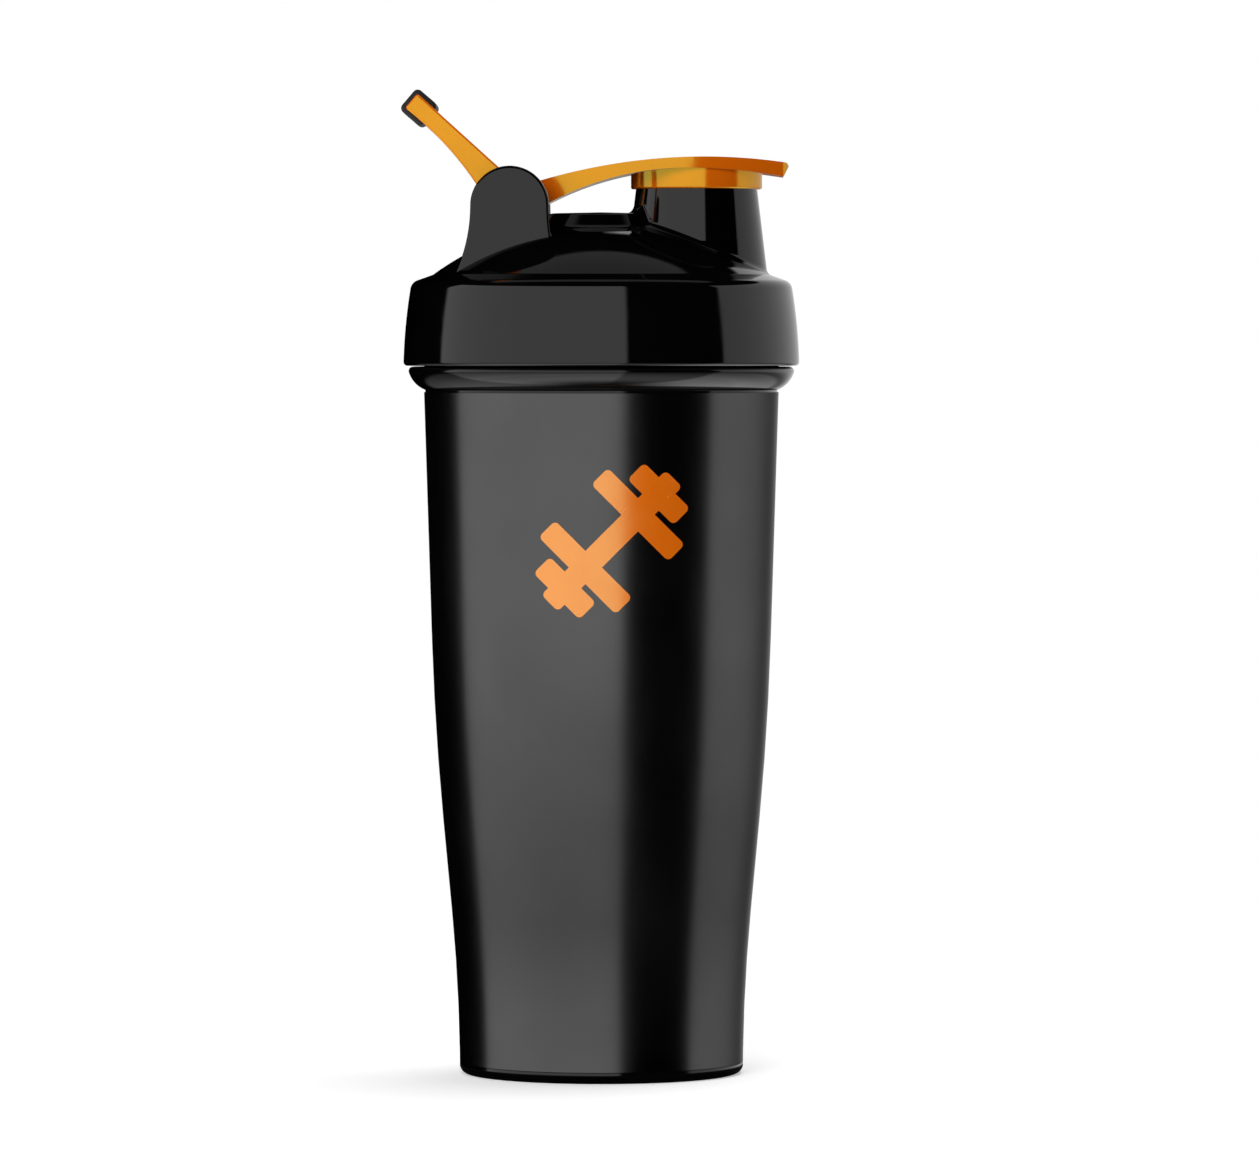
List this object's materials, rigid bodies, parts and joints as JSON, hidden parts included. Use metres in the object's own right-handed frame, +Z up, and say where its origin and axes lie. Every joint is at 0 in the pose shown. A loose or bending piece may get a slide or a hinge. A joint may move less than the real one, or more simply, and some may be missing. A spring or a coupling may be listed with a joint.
{
  "type": "protein shaker bottle",
  "caption": "Tapered shaker bottle with a screw lid, flip cap over a round spout, hinged carry loop with a rubber grip, and a loose wire whisk ball inside.",
  "frame": {"origin": "centre of the base, on the surface that the bottle stands on", "axes": "+Z up along the cup's axis, +X towards the spout, -Y towards the front with the printed mark"},
  "size_m": [0.0966, 0.0964, 0.2392],
  "materials": {
    "black_gloss_plastic": "moulded, glossy",
    "black_gloss_lid": "moulded, high gloss",
    "black_satin_sleeve": "satin shrink film",
    "orange_print": "printed, satin",
    "orange_plastic": "moulded, semi-gloss",
    "clear_silicone": "smooth silicone",
    "grey_silicone": "smooth silicone",
    "black_rubber": "fine matte grain",
    "stainless_steel": "electropolished wire"
  },
  "bodies": {
    "cup": {"cup": "black_gloss_plastic", "cup_sleeve": "black_satin_sleeve", "front_mark": "orange_print"},
    "lid_seal": {"lid_seal": "clear_silicone"},
    "lid": {"lid": "black_gloss_lid", "hinge_pin": "stainless_steel"},
    "flip_cap": {"flip_cap": "orange_plastic", "spout_stopper": "grey_silicone"},
    "carry_loop": {"carry_loop": "orange_plastic", "loop_grip": "black_rubber"},
    "whisk_ball": {"whisk_ball": "stainless_steel"}
  },
  "joints": [
    {"name": "lid_lift", "type": "slide", "parent": "cup", "child": "lid_seal", "axis": [0, 0, 1], "range_m": [0, 0.012]},
    {"name": "lid_turn", "type": "hinge", "parent": "lid_seal", "child": "lid", "pos_m": [0, 0, 0.19], "axis": [0, 0, 1], "range_deg": [0, 720]},
    {"name": "flip_cap_hinge", "type": "hinge", "parent": "lid", "child": "flip_cap", "pos_m": [-0.02205, 0, 0.2112], "axis": [0, -1, 0], "range_deg": [0, 85]},
    {"name": "loop_swing", "type": "hinge", "parent": "lid", "child": "carry_loop", "pos_m": [-0.02205, 0, 0.2112], "axis": [0, -1, 0], "range_deg": [0, 70]},
    {"name": "whisk_shake", "type": "slide", "parent": "cup", "child": "whisk_ball", "axis": [0, 0, 1], "range_m": [0, 0.15]}
  ],
  "couplings": [
    {"joint": "lid_lift", "follows": "lid_turn", "m_per_rad": 0.00095493}
  ]
}
